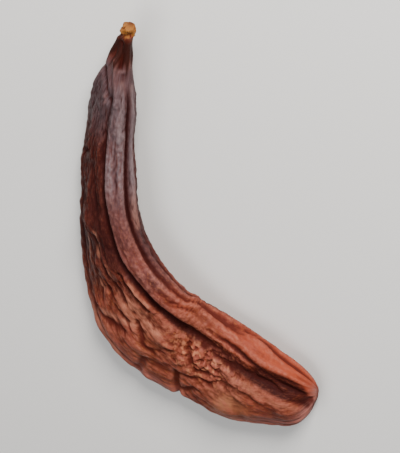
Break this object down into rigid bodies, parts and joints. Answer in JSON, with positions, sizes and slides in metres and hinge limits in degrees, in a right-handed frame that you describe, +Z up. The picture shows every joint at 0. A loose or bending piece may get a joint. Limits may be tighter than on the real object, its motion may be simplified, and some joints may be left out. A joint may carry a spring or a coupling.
{
  "type": "carob pod",
  "caption": "Dried carob pod lying on its side: flat, bent in a blunt hook, with ridged margins, a deep furrow, wrinkled brown faces and a short stub of stalk.",
  "frame": {"origin": "centre of the bounding box at its base, on the surface that the pod lies on", "axes": "+X from the blunt tip towards the stalk, +Z up through the pod's thickness, -Y on the hollow side of the bend"},
  "size_m": [0.1232, 0.0542, 0.0151],
  "materials": {
    "pod": "wrinkled leathery dried skin, half matt"
  },
  "bodies": {
    "root": {"pod": "pod"}
  },
  "joints": []
}
